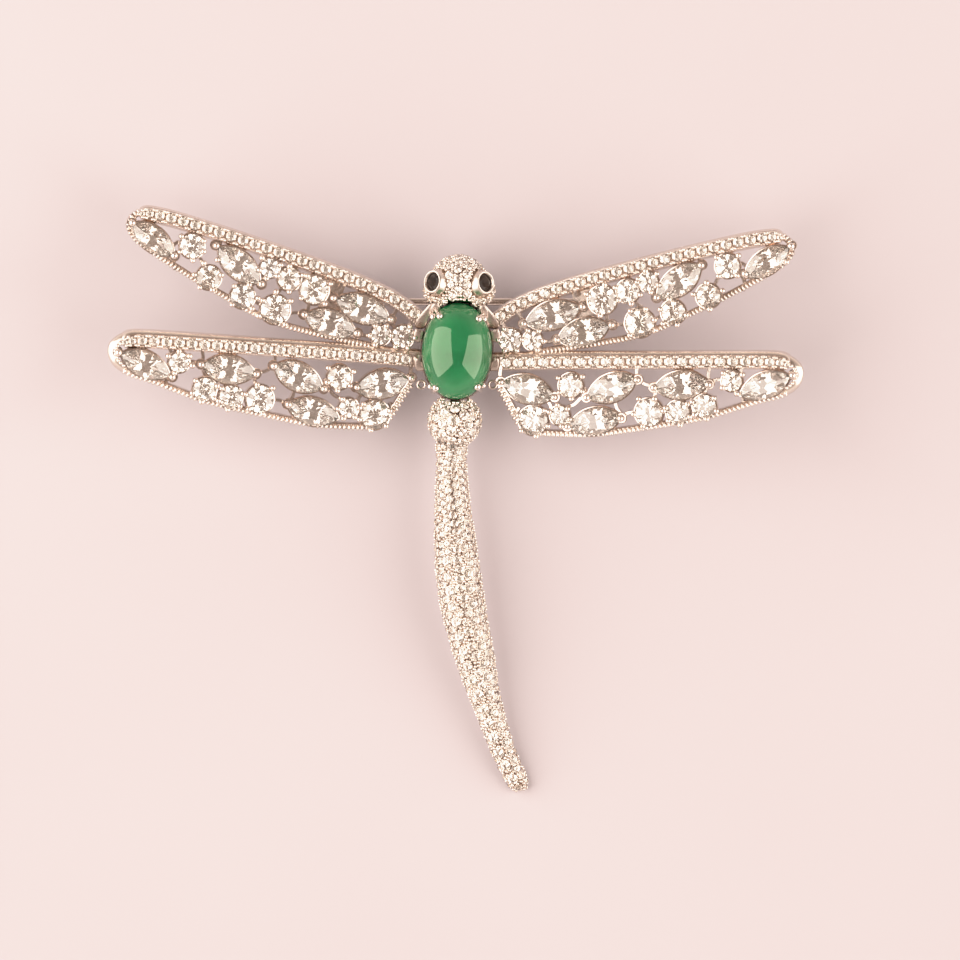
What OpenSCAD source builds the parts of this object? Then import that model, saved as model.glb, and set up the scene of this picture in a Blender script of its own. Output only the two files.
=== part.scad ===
// Dragonfly brooch lying on its back. Millimetres, +Z is its front, +Y is towards the head.

/* [Body stone] */
// Width of the oval cabochon
cab_w = 7.04; // [6.8:0.02:7.2]
// Length of the oval cabochon
cab_l = 9.70; // [9.5:0.05:9.9]
// Rise of its dome above the girdle
cab_rise = 3.2; // [2.6:0.1:3.6]
// Turn of the cabochon seen from the front
cab_turn = -2.4; // [-4:0.2:0]

/* [Heights] */
// Underside of the body above the surface
under_z = 4.6; // [4.4:0.1:5.0]
// Stone level at the forewing roots
fore_z = 6.6; // [6.4:0.1:6.8]
// Stone level at the hindwing roots
hind_z = 6.3; // [6.2:0.1:6.6]
// Height of the pin above the surface
pin_z = 1.9; // [1.6:0.1:2.1]

/* [Wings] */
// Slope of the forewings up to their tips
fore_rise = 7; // [5:0.5:8]
// Slope of the hindwings up to their tips
hind_rise = 8; // [6:0.5:9]
// Tilt of the forewings that lifts the leading edge
fore_pitch = 2; // [0:0.5:3]
// Tilt of the hindwings that lifts the leading edge
hind_pitch = 7; // [5:0.5:8]
// Wall of the stone settings
wall = 0.2; // [0.16:0.02:0.24]
// Depth of the stone settings
deep = 1.25; // [1.2:0.05:1.3]
// Width of the paved rail on the leading edges
rail_w = 1.35; // [1.2:0.05:1.4]
// Width of the beaded trailing edge
edge_w = 0.7; // [0.6:0.05:0.75]

/* [Pin] */
// Thickness of the pin wire
wire_d = 0.8; // [0.7:0.05:0.9]
// Width of the square feet
foot_w = 2.4; // [2:0.1:2.6]

/* [Hidden] */
$fn = 48;
gap = 0.05;
// where the middle of the body stands in the frame of the part
place = [0.15, 15.1, 0];

// ---- charts: u runs from the wing root to its tip, v towards its leading edge ----

// marquises, tip first: [u, v, turn, length, width]
FORE_M = [[27.7, -0.85, 17.5, 5.2, 2.45], [18.8, -0.30, 20, 5.4, 2.7],
          [5.75, -0.10, 0, 5.6, 2.8], [8.25, -2.60, -1, 5.3, 2.75]];
HIND_M = [[27.0, -1.40, 20.5, 5.3, 2.6], [18.7, -1.35, 4.5, 5.4, 2.8], [11.75, -1.60, 20.5, 5.3, 2.8],
          [3.35, -1.75, -16, 5.4, 2.8], [10.0, -4.95, 10, 5.3, 2.75]];
// round stones, tip first: [u, v, diameter]
FORE_R = [[23.85, -0.15, 2.4], [21.2, -2.5, 2.4], [17.4, -3.1, 2.4], [15.85, 0.50, 1.9], [13.65, 0.15, 2.3],
          [10.95, 0.0, 2.85], [13.9, -3.2, 2.9], [3.15, -1.95, 1.9], [1.05, -1.3, 2.2]];
HIND_R = [[23.7, -0.95, 2.0], [20.95, -3.45, 2.3], [18.3, -4.05, 2.3], [15.4, -4.05, 2.75], [7.65, -1.35, 2.4],
          [6.5, -4.35, 1.9], [3.85, -4.85, 2.9]];
// middle of the paved rail: [u, v]
FORE_RAIL = [[-0.5, 0.75], [0.6, 1.2], [2.2, 1.75], [5, 2.17], [9, 2.33], [14, 2.28], [19, 2.15], [24, 1.92],
             [27, 1.70], [29.0, 1.36], [29.9, 1.0]];
HIND_RAIL = [[-0.2, 0.88], [4, 0.95], [10, 0.99], [18, 1.0], [23.5, 1.0], [27.4, 0.97], [28.7, 0.82], [29.5, 0.55]];
// middle of the beaded edge: [u, v]
FORE_EDGE = [[29.85, 1.25], [30.35, 0.6], [30.45, -0.1], [30.1, -0.85], [29.0, -1.55], [27.6, -1.95], [26.35, -2.28],
             [24.1, -2.75], [21.7, -3.25], [19.35, -3.63], [16.85, -4.08], [15.0, -4.32], [13.5, -4.37], [11.6, -4.26],
             [9.0, -3.98], [6.4, -3.62], [3.4, -3.25]];
HIND_EDGE = [[29.8, 0.9], [30.3, 0.35], [30.45, -0.35], [30.2, -1.1], [29.6, -1.75], [28.3, -2.45], [26.4, -2.9],
             [24.4, -3.5], [22.2, -4.2], [20.6, -4.64], [17.3, -5.22], [14.3, -5.66], [11.4, -6.08], [9.5, -6.26],
             [7.0, -6.24], [4.6, -6.13], [3.55, -5.95], [2.75, -5.5], [2.15, -4.55], [1.55, -3.4], [1.0, -2.35], [0.45, -1.3]];
// short bars between settings: [u, v, u, v]
FORE_BARS = [[25.0, -1.4, 24.6, -3.0], [21.3, 0.6, 21.6, 1.7], [16.15, -1.2, 16.15, -0.4], [16.2, -1.2, 16.95, -1.85],
             [8.5, -0.1, 9.6, 0.0], [2.9, -0.1, 2.5, 1.4], [2.9, -0.1, 1.9, -0.7], [5.5, -2.5, 4.0, -2.3],
             [11.0, -2.7, 10.95, -1.4], [11.0, -2.7, 12.5, -3.1], [0.9, -0.3, 0.7, 0.9], [22.2, -1.5, 22.9, -0.9],
             [14.6, -1.8, 14.0, -1.0], [16.1, -3.1, 15.3, -3.15], [8.6, 1.0, 8.7, 2.0], [25.2, -0.2, 25.6, -0.8]];
HIND_BARS = [[24.6, -2.2, 24.6, -3.7], [24.5, -0.6, 24.9, 0.6], [21.4, -1.1, 22.9, -0.9], [21.4, -1.1, 21.6, 0.6],
             [16.0, -1.5, 14.2, -0.7], [14.3, -0.6, 14.3, 0.6], [9.2, -2.5, 9.0, -1.6], [6.2, -2.4, 6.9, -1.9],
             [0.7, -1.0, 0.7, 0.6], [7.5, -5.4, 7.2, -4.8], [12.7, -4.4, 14.2, -4.1], [5.3, -3.0, 5.6, -3.8],
             [8.6, -2.6, 7.1, -3.6], [9.0, -1.3, 8.4, -1.3], [16.0, -1.6, 15.8, -2.8], [21.3, -1.2, 20.75, -2.3],
             [20.0, -3.0, 20.4, -3.3], [12.6, -4.3, 12.0, -3.0], [2.4, -3.6, 1.6, -4.3]];

// abdomen seen from the front: [x, y, half width]
TAIL = [[-0.45, -8.4, 1.7], [-0.55, -9.6, 1.5], [-0.58, -11.4, 1.45], [-0.52, -13.8, 1.58], [-0.42, -16.4, 1.8],
        [-0.2, -19.2, 2.0], [0.08, -22.0, 2.15], [0.5, -25.0, 2.18], [1.1, -28.0, 2.05], [1.75, -30.6, 1.9],
        [2.35, -33.0, 1.65], [3.1, -35.6, 1.35], [4.0, -38.4, 1.2], [4.95, -40.9, 1.1], [5.9, -42.9, 0.98],
        [6.35, -43.7, 0.8], [6.5, -44.2, 0.4]];

// ---- helpers ----

// one wing's root, its direction seen from the front, height, slope and pitch
function root(w, s) = w == "fore" ? (s > 0 ? [4.0, 2.1, fore_z] : [4.0, 2.3, fore_z])
                                  : (s > 0 ? [3.7, -2.1, hind_z] : [4.0, -1.8, hind_z]);
function span(w, s) = w == "fore" ? (s > 0 ? 15.8 : 20.3) : (s > 0 ? 0 : 3.8);
function rise(w) = w == "fore" ? fore_rise : hind_rise;
// how far the polished outer wall stands out of the rail
function flare(w) = w == "fore" ? 0.14 : 0.36;
function pitch(w) = w == "fore" ? fore_pitch : hind_pitch;
function ms(w) = w == "fore" ? FORE_M : HIND_M;
function rs(w) = w == "fore" ? FORE_R : HIND_R;
// a charted point lies in the sloping plane of its wing
function at(w, p) = [p[0] / cos(rise(w)), p[1] / cos(pitch(w))];
// radius of the arcs of a marquise of half length a and half width b
function arc_r(a, b) = (a * a + b * b) / (2 * b);
function unit(v) = v / norm(v);
function dir2(L, i) = unit(L[min(i + 1, len(L) - 1)] - L[max(i - 1, 0)]);
function side2(L, i, d) = L[i] + d * [-dir2(L, i)[1], dir2(L, i)[0]];
function strip(L, lo, hi) = concat([for (i = [0:len(L) - 1]) side2(L, i, hi)],
                                   [for (i = [len(L) - 1:-1:0]) side2(L, i, lo)]);
// the same path with both of its ends drawn in by d
function drawn_in(L, d) = concat([L[0] + d * dir2(L, 0)], [for (i = [1:len(L) - 2]) L[i]],
                                 [L[len(L) - 1] - d * dir2(L, len(L) - 1)]);
function oval(a, b, n = 48) = [for (i = [0:n - 1]) [a * cos(360 * i / n), b * sin(360 * i / n)]];

module on_wing(w, s) {
  translate(place)
    mirror([s > 0 ? 0 : 1, 0, 0])
      translate(root(w, s)) rotate([0, 0, span(w, s)]) rotate([0, -rise(w), 0]) rotate([pitch(w), 0, 0])
        children();
}

module lens(m, grow = 0) {
  a = m[3] / 2; b = m[4] / 2; r = arc_r(a, b);
  intersection() {
    translate([0, r - b]) circle(r + grow, $fn = 36);
    translate([0, b - r]) circle(r + grow, $fn = 36);
  }
}

module bar(a, b, w) {
  d = b - a;
  translate(a) rotate(atan2(d[1], d[0])) translate([-w / 2, -w / 2]) square([norm(d) + w, w]);
}

// round stud of height h and radius r with a ball end of radius e
module stud(h, r, e) {
  rotate_extrude($fn = 24) polygon(concat([[0, 0], [r, 0], [r, h - 1.6 * e]],
    [for (q = [-30:30:60]) [e * cos(q), h - e + e * sin(q)]], [[0, h]]));
}

module stud_to(a, b, r, e) {
  d = b - a;
  translate(a) rotate([0, acos(d[2] / norm(d)), atan2(d[1], d[0])]) stud(norm(d), r, e);
}

// ---- wings ----

module prongs_at(w) for (m = ms(w), k = [-1, 1])
  translate(at(w, m)) rotate(m[2]) translate([k * (m[3] / 2 + 0.28), 0]) children();

module settings(w) {
  R = [for (p = (w == "fore" ? FORE_RAIL : HIND_RAIL)) at(w, p)];
  E = w == "fore" ? FORE_EDGE : HIND_EDGE;
  B = w == "fore" ? FORE_BARS : HIND_BARS;
  difference() {
    union() {
      polygon(strip(R, -rail_w / 2, rail_w / 2 + flare(w)));
      polygon(strip([for (p = E) at(w, p)], -edge_w / 2, edge_w / 2));
      for (m = ms(w)) translate(at(w, m)) rotate(m[2]) lens(m, wall);
      for (r = rs(w)) translate(at(w, r)) circle(r[2] / 2 + wall, $fn = 20);
      for (b = B) bar(at(w, [b[0], b[1]]), at(w, [b[2], b[3]]), 0.34);
    }
    for (m = ms(w)) translate(at(w, m)) rotate(m[2]) lens(m, -gap);
    for (r = rs(w)) translate(at(w, r)) circle(r[2] / 2 - gap, $fn = 20);
  }
  prongs_at(w) circle(0.32, $fn = 12);
}

module wing(w) {
  R = [for (p = (w == "fore" ? FORE_RAIL : HIND_RAIL)) at(w, p)];
  // the settings run together where they are soldered
  translate([0, 0, -deep - 0.1]) linear_extrude(deep) offset(delta = -0.05) offset(delta = 0.05) settings(w);
  // paved rail above the settings, and its polished wall below them
  translate([0, 0, -0.5]) linear_extrude(0.7) polygon(strip(drawn_in(R, 0.06), -rail_w / 2 + 0.05, rail_w / 2));
  translate([0, 0, -1.9]) linear_extrude(0.9) polygon(strip(drawn_in(R, 0.12), -rail_w / 2 + 0.15, rail_w / 2 + flare(w) - 0.06));
  prongs_at(w) translate([0, 0, -0.4]) stud(0.9, 0.24, 0.27);
  if (w == "fore") translate([8.1, -1.1, -1.95]) cube([2.5, 2.9, 0.7]);
}

// ---- stones ----

module marquise(m) {
  n = 7;
  a = m[3] / 2; b = m[4] / 2;
  function edge(k, s) = let (aa = a * s, bb = b * s, r = arc_r(aa, bb), t = asin(aa / r))
    concat([for (i = [0:n - 1]) let (q = -t + 2 * t * i / n) [r * sin(q), r * cos(q) - (r - bb)]],
           [for (i = [0:n - 1]) let (q = t - 2 * t * i / n) [r * sin(q), -(r * cos(q) - (r - bb))]]);
  hull() {
    translate([0, 0, 0.42]) linear_extrude(0.01) polygon(edge(0, 0.62));
    linear_extrude(0.07) polygon(edge(0, 1));
    translate([0, 0, -1.12]) linear_extrude(0.01) square([a * 0.7, 0.02], center = true);
  }
}

module round_stone(d) {
  rotate_extrude() polygon([[0, -0.41 * d], [d / 2, 0], [d / 2, 0.05], [0.28 * d, 0.16 * d], [0, 0.16 * d]]);
}

module marquise_node(w, s, i) color("lightcyan") on_wing(w, s) translate(at(w, ms(w)[i])) rotate(ms(w)[i][2]) marquise(ms(w)[i]);

module rounds_node(w, s) color("azure") on_wing(w, s) for (r = rs(w)) translate(at(w, r)) round_stone(r[2]);

// ---- body ----

cab_z = 7.3;

module on_body() translate(place) children();

module cabochon() color("seagreen") on_body() rotate(cab_turn) {
  translate([0, 0, cab_z - 0.85]) scale([cab_w / 2, cab_l / 2, 1]) cylinder(h = 0.85, r = 1);
  intersection() {
    translate([0, 0, cab_z]) scale([cab_w / 2, cab_l / 2, cab_rise]) sphere(1);
    translate([-6, -6, cab_z]) cube([12, 12, 6]);
  }
}

// point on the dome of the cabochon at a bearing and a height share, moved out by d
function dome(q, t, d) = let (a = cab_w / 2, b = cab_l / 2, c = cab_rise, k = sqrt(1 - t * t),
    p = [a * k * cos(q), b * k * sin(q), c * t], n = unit([p[0] / (a * a), p[1] / (b * b), p[2] / (c * c)]))
  [0, 0, cab_z] + p + n * d;

// an upright post outside the girdle and a leaning tip that lies over the dome
module prong(q) {
  r = 0.28;
  foot = dome(q, 0, r + 0.2);
  stud_to([foot[0], foot[1], 5.4], foot + [0, 0, 0.2], r + 0.05, r);
  stud_to(foot - [0, 0, 0.25], dome(q, 0.4, r + 0.24) + [0, 0, 0.1], r, r + 0.04);
}

// the room of the cabochon, cut out of what stands against it
module cab_clearance() rotate(cab_turn) translate([0, 0, cab_z - 0.9]) linear_extrude(9) polygon(oval(cab_w / 2 + gap, cab_l / 2 + gap));

module basket() rotate(cab_turn) difference() {
  union() {
    translate([0, 0, under_z]) linear_extrude(2.3) polygon(oval(cab_w / 2 + 0.45, cab_l / 2 + 0.45));
    translate([0, 0, under_z]) linear_extrude(1.6) polygon(oval(cab_w / 2 + 0.95, cab_l / 2 + 0.75));
  }
  translate([0, 0, under_z - 1]) linear_extrude(9) polygon(oval(cab_w / 2 - 0.6, cab_l / 2 - 0.6));
  translate([0, 0, cab_z - 0.9]) linear_extrude(9) polygon(oval(cab_w / 2 + gap, cab_l / 2 + gap));
}

// eye settings: face centre and outward lean
EYE_L = [-2.35, 6.9, 8.45];
EYE_R = [2.75, 6.8, 8.45];
eye_lean = 44;
eye_d = 1.72;

module on_eye(s) translate(s < 0 ? EYE_L : EYE_R) rotate([-6, s * eye_lean, 0]) children();

module eye(s) color("black") on_body() on_eye(s)
  rotate_extrude() polygon([[0, -0.62], [eye_d / 2, -0.05], [eye_d / 2, 0.02], [eye_d * 0.3, 0.2], [0, 0.2]]);

module head() difference() {
  union() {
    intersection() {
      union() {
        translate([0.2, 6.1, 6.1]) scale([3.5, 2.1, 2.9]) sphere(1);
        translate([0.2, 7.0, 6.4]) scale([2.75, 2.55, 3.0]) sphere(1);
      }
      translate([-5, 2, under_z]) cube([10, 10, 8]);
    }
    for (s = [-1, 1]) on_eye(s) translate([0, 0, -2.2]) cylinder(h = 2.25, r = eye_d / 2 + 0.3);
  }
  for (s = [-1, 1]) on_eye(s) translate([0, 0, -0.72]) cylinder(h = 3, r = eye_d / 2 + gap);
  cab_clearance();
}

// neck plates beside the head and polished shoulders beside the body stone
module shoulders() for (s = [-1, 1]) {
  translate([0, 0, under_z]) linear_extrude(2.0)
    polygon([[s * 1.4, 4.9], [s * 2.8, 4.7], [s * 3.2, 4.3], [s * 4.0, 3.3], [s * 4.2, 2.4], [s * 3.55, 2.6], [s * 2.6, 4.2]]);
  // collar between the head and the upper prongs
  difference() {
    translate([0, 0, under_z]) linear_extrude(3.2)
      polygon([[s * 1.6, 5.0], [s * 1.7, 4.1], [s * 2.2, 3.6], [s * 2.8, 3.5], [s * 2.95, 4.1], [s * 2.4, 4.9]]);
    cab_clearance();
  }
  // curled links below the hindwing roots
  translate([s * 3.75, -3.4, under_z + 0.4]) difference() {
    cylinder(h = 1.7, r = 0.62, $fn = 24);
    translate([0, 0, -1]) cylinder(h = 4, r = 0.3, $fn = 24);
  }
}

function tail_t(i) = (TAIL[0][1] - TAIL[i][1]) / (TAIL[0][1] - TAIL[len(TAIL) - 1][1]);
function tail_low(i) = under_z * (1 - pow(tail_t(i), 1.7));
function tail_ring(i) = let (p = TAIL[i], c = [p[0], p[1]], q = [for (r = TAIL) [r[0], r[1]]], t = dir2(q, i),
    n = [t[1], -t[0]], h = p[2], lo = tail_low(i), up = 1.25 * h)
  concat([[h * 0.8, 0], [h, 0.35]], [for (k = [1:7]) [h * cos(22.5 * k), 0.35 + (up - 0.35) * sin(22.5 * k)]],
         [[-h, 0.35], [-h * 0.8, 0]]);
function tail_pt(i, s) = let (q = [for (r = TAIL) [r[0], r[1]]], t = dir2(q, i))
  [TAIL[i][0] + s[0] * -t[1], TAIL[i][1] + s[0] * t[0], tail_low(i) + s[1]];

module abdomen() {
  n = len(TAIL); m = 11;
  P = [for (i = [0:n - 1], s = tail_ring(i)) tail_pt(i, s)];
  F = concat([for (i = [0:n - 2], k = [0:m - 1]) [i * m + k, (i + 1) * m + k, (i + 1) * m + (k + 1) % m]],
             [for (i = [0:n - 2], k = [0:m - 1]) [i * m + k, (i + 1) * m + (k + 1) % m, i * m + (k + 1) % m]],
             [[for (k = [0:m - 1]) k]], [[for (k = [m - 1:-1:0]) (n - 1) * m + k]]);
  polyhedron(P, F, convexity = 4);
  difference() {
    intersection() {
      translate([-0.25, -6.95, 5.7]) scale([2.6, 2.55, 2.35]) sphere(1);
      translate([-4, -12, under_z]) cube([8, 7.9, 6]);
    }
    cab_clearance();
  }
}

module frame() color("silver") {
  for (w = ["fore", "hind"], s = [-1, 1]) on_wing(w, s) wing(w);
  on_body() {
    basket();
    rotate(cab_turn) for (q = [57, 67, 113, 123, 237, 247, 293, 303]) prong(q);
    head();
    shoulders();
    abdomen();
  }
}

// ---- pin on the back: one plain wire on its post, and a plain open catch ----

pin_y = 5.05;
post_x = -12.7;
catch_x = 13.2;

// everything above the underside of the forewing's pad is cut away
module below_pad(s) difference() {
  children();
  translate(-place) on_wing("fore", s) translate([0, -8, -1.95 - gap]) cube([24, 16, 8]);
}

module pin() color("gray") on_body() {
  below_pad(-1) translate([post_x - foot_w / 2, pin_y - foot_w / 2, 0]) cube([foot_w, foot_w, 9]);
  translate([post_x + foot_w / 2 - 0.5, pin_y, pin_z]) rotate([0, 90, 0]) {
    cylinder(h = catch_x - post_x - foot_w / 2 + 0.8, r = wire_d / 2);
    translate([0, 0, catch_x - post_x - foot_w / 2 + 0.8]) cylinder(h = 1.5, r1 = wire_d / 2, r2 = 0.08);
  }
}

module catch() color("dimgray") on_body() difference() {
  below_pad(1) translate([catch_x - foot_w / 2, pin_y - 1.5, 0]) cube([foot_w, 3, 10]);
  // slot open towards the tail, with a round end that the wire lies in
  translate([catch_x - 3, pin_y, pin_z]) rotate([0, 90, 0]) cylinder(h = 6, r = wire_d / 2 + 0.06);
  translate([catch_x - 3, pin_y - 4, pin_z - wire_d / 2 - 0.06]) cube([6, 4, wire_d + 0.12]);
}

frame();
cabochon();
eye(-1);  // eye_left
eye(1);  // eye_right
marquise_node("fore", -1, 0);  // fore_left_marquise_1
marquise_node("fore", -1, 1);  // fore_left_marquise_2
marquise_node("fore", -1, 2);  // fore_left_marquise_3
marquise_node("fore", -1, 3);  // fore_left_marquise_4
marquise_node("fore", 1, 0);  // fore_right_marquise_1
marquise_node("fore", 1, 1);  // fore_right_marquise_2
marquise_node("fore", 1, 2);  // fore_right_marquise_3
marquise_node("fore", 1, 3);  // fore_right_marquise_4
marquise_node("hind", -1, 0);  // hind_left_marquise_1
marquise_node("hind", -1, 1);  // hind_left_marquise_2
marquise_node("hind", -1, 2);  // hind_left_marquise_3
marquise_node("hind", -1, 3);  // hind_left_marquise_4
marquise_node("hind", -1, 4);  // hind_left_marquise_5
marquise_node("hind", 1, 0);  // hind_right_marquise_1
marquise_node("hind", 1, 1);  // hind_right_marquise_2
marquise_node("hind", 1, 2);  // hind_right_marquise_3
marquise_node("hind", 1, 3);  // hind_right_marquise_4
marquise_node("hind", 1, 4);  // hind_right_marquise_5
rounds_node("fore", -1);  // fore_left_rounds
rounds_node("fore", 1);  // fore_right_rounds
rounds_node("hind", -1);  // hind_left_rounds
rounds_node("hind", 1);  // hind_right_rounds
pin();
catch();
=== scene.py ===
import math
import random

import bmesh
import bpy
import numpy as np
from mathutils import Matrix, Vector


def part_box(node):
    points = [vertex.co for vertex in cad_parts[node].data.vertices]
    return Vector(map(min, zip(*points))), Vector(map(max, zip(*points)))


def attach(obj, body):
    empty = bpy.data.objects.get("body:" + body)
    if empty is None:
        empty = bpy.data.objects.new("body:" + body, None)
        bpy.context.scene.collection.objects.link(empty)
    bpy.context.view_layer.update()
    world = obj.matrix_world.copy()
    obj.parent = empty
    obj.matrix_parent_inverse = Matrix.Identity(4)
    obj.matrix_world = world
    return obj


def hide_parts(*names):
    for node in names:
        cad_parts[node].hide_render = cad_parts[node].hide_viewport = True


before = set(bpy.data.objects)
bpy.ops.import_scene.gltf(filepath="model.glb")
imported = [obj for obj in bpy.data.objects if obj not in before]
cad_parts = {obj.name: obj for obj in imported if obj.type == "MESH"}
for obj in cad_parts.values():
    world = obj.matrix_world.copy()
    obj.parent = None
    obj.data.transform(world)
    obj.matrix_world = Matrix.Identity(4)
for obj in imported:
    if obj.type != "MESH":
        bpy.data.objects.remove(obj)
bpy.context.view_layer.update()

random.seed(7)
rng = random.Random(11)

# Everything below is worked out in millimetres in the part's own frame and scaled to metres when a piece is made.
MM = 0.001
sin = lambda q: math.sin(math.radians(q))
cos = lambda q: math.cos(math.radians(q))

# ---------------------------------------------------------------- construction sizes, as in the part

PLACE = (0.15, 15.1, 0.0)
UNDER_Z, FORE_Z, HIND_Z = 4.6, 6.6, 6.3
RISE = {"fore": 7.0, "hind": 8.0}
PITCH = {"fore": 2.0, "hind": 7.0}
SPAN = {("fore", 1): 15.8, ("fore", -1): 20.3, ("hind", 1): 0.0, ("hind", -1): 3.8}
ROOT = {("fore", 1): (4.0, 2.1, FORE_Z), ("fore", -1): (4.0, 2.3, FORE_Z),
        ("hind", 1): (3.7, -2.1, HIND_Z), ("hind", -1): (4.0, -1.8, HIND_Z)}
FLARE = {"fore": 0.14, "hind": 0.36}
RAIL_W, EDGE_W = 1.35, 0.7
CAB_W, CAB_L, CAB_TURN, CAB_Z = 7.04, 9.70, -2.4, 7.3

# marquises, tip first: u, v, turn, length, width
MARQUISES = {
    "fore": [(27.7, -0.85, 17.5, 5.2, 2.45), (18.8, -0.30, 20, 5.4, 2.7), (5.75, -0.10, 0, 5.6, 2.8), (8.25, -2.60, -1, 5.3, 2.75)],
    "hind": [(27.0, -1.40, 20.5, 5.3, 2.6), (18.7, -1.35, 4.5, 5.4, 2.8), (11.75, -1.60, 20.5, 5.3, 2.8),
             (3.35, -1.75, -16, 5.4, 2.8), (10.0, -4.95, 10, 5.3, 2.75)],
}
# round stones, tip first: u, v, diameter
ROUNDS = {
    "fore": [(23.85, -0.15, 2.4), (21.2, -2.5, 2.4), (17.4, -3.1, 2.4), (15.85, 0.50, 1.9), (13.65, 0.15, 2.3),
             (10.95, 0.0, 2.85), (13.9, -3.2, 2.9), (3.15, -1.95, 1.9), (1.05, -1.3, 2.2)],
    "hind": [(23.7, -0.95, 2.0), (20.95, -3.45, 2.3), (18.3, -4.05, 2.3), (15.4, -4.05, 2.75), (7.65, -1.35, 2.4),
             (6.5, -4.35, 1.9), (3.85, -4.85, 2.9)],
}
# middle of the paved rail: u, v
RAIL = {
    "fore": [(-0.5, 0.75), (0.6, 1.2), (2.2, 1.75), (5, 2.17), (9, 2.33), (14, 2.28), (19, 2.15), (24, 1.92), (27, 1.70), (29.0, 1.36), (29.9, 1.0)],
    "hind": [(-0.2, 0.88), (4, 0.95), (10, 0.99), (18, 1.0), (23.5, 1.0), (27.4, 0.97), (28.7, 0.82), (29.5, 0.55)],
}
# middle of the beaded edge: u, v
EDGE = {
    "fore": [(29.85, 1.25), (30.35, 0.6), (30.45, -0.1), (30.1, -0.85), (29.0, -1.55), (27.6, -1.95), (26.35, -2.28),
             (24.1, -2.75), (21.7, -3.25), (19.35, -3.63), (16.85, -4.08), (15.0, -4.32), (13.5, -4.37), (11.6, -4.26),
             (9.0, -3.98), (6.4, -3.62), (3.4, -3.25)],
    "hind": [(29.8, 0.9), (30.3, 0.35), (30.45, -0.35), (30.2, -1.1), (29.6, -1.75), (28.3, -2.45), (26.4, -2.9),
             (24.4, -3.5), (22.2, -4.2), (20.6, -4.64), (17.3, -5.22), (14.3, -5.66), (11.4, -6.08), (9.5, -6.26),
             (7.0, -6.24), (4.6, -6.13), (3.55, -5.95), (2.75, -5.5), (2.15, -4.55), (1.55, -3.4), (1.0, -2.35), (0.45, -1.3)],
}
# short bars between settings: u, v, u, v
BARS = {
    "fore": [(25.0, -1.4, 24.6, -3.0), (21.3, 0.6, 21.6, 1.7), (16.15, -1.2, 16.15, -0.4), (16.2, -1.2, 16.95, -1.85),
             (8.5, -0.1, 9.6, 0.0), (2.9, -0.1, 2.5, 1.4), (2.9, -0.1, 1.9, -0.7), (5.5, -2.5, 4.0, -2.3),
             (11.0, -2.7, 10.95, -1.4), (11.0, -2.7, 12.5, -3.1), (0.9, -0.3, 0.7, 0.9), (22.2, -1.5, 22.9, -0.9),
             (14.6, -1.8, 14.0, -1.0), (16.1, -3.1, 15.3, -3.15), (8.6, 1.0, 8.7, 2.0), (25.2, -0.2, 25.6, -0.8)],
    "hind": [(24.6, -2.2, 24.6, -3.7), (24.5, -0.6, 24.9, 0.6), (21.4, -1.1, 22.9, -0.9), (21.4, -1.1, 21.6, 0.6),
             (16.0, -1.5, 14.2, -0.7), (14.3, -0.6, 14.3, 0.6), (9.2, -2.5, 9.0, -1.6), (6.2, -2.4, 6.9, -1.9),
             (0.7, -1.0, 0.7, 0.6), (7.5, -5.4, 7.2, -4.8), (12.7, -4.4, 14.2, -4.1), (5.3, -3.0, 5.6, -3.8),
             (8.6, -2.6, 7.1, -3.6), (9.0, -1.3, 8.4, -1.3), (16.0, -1.6, 15.8, -2.8), (21.3, -1.2, 20.75, -2.3),
             (20.0, -3.0, 20.4, -3.3), (12.6, -4.3, 12.0, -3.0), (2.4, -3.6, 1.6, -4.3)],
}
# abdomen seen from the front: x, y, half width
TAIL = [(-0.45, -8.4, 1.7), (-0.55, -9.6, 1.5), (-0.58, -11.4, 1.45), (-0.52, -13.8, 1.58), (-0.42, -16.4, 1.8),
        (-0.2, -19.2, 2.0), (0.08, -22.0, 2.15), (0.5, -25.0, 2.18), (1.1, -28.0, 2.05), (1.75, -30.6, 1.9),
        (2.35, -33.0, 1.65), (3.1, -35.6, 1.35), (4.0, -38.4, 1.2), (4.95, -40.9, 1.1), (5.9, -42.9, 0.98),
        (6.35, -43.7, 0.8), (6.5, -44.2, 0.4)]
# ball ends of the prongs as they show from the front: x, y from the middle of the body, in tenths of a millimetre
BALLS = {
    ("fore", 1): [(259, 93), (283, 96), (243, 85), (266, 60), (199, 20), (194, 30), (206, 27), (236, 57), (288, 77), (330, 89), (331, 107),
                  (200, 77), (129, 57), (158, 63), (181, 72), (67, 27), (126, 43), (154, 27), (100, 12), (200, 53), (175, 37), (185, 34)],
    ("hind", 1): [(335, -23), (279, -43), (285, -24), (266, -22), (251, -34), (197, -36), (180, -29), (179, -45), (130, -46), (126, -26),
                  (101, -27), (97, -46), (45, -30), (111, -76), (163, -68)],
    ("fore", -1): [(-275, 114), (-253, 110), (-253, 99), (-264, 90), (-254, 89), (-243, 93), (-262, 76), (-236, 75), (-232, 72), (-244, 61),
                   (-241, 104), (-195, 68), (-222, 65), (-198, 53), (-204, 41), (-199, 35), (-195, 93), (-176, 86), (-154, 76), (-126, 67),
                   (-132, 47), (-180, 60), (-165, 50), (-171, 26), (-123, 54), (-67, 31), (-152, 37), (-100, 19)],
    ("hind", -1): [(-336, 0), (-284, -24), (-288, -5), (-267, -5), (-255, -13), (-202, -23), (-264, -15), (-183, -15), (-133, -37), (-182, -36),
                   (-129, -17), (-102, -20), (-99, -37), (-46, -27), (-168, -53), (-114, -67)],
}


# ---------------------------------------------------------------- matrices

def trans(x, y, z):
    m = np.eye(4)
    m[:3, 3] = (x, y, z)
    return m


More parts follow.
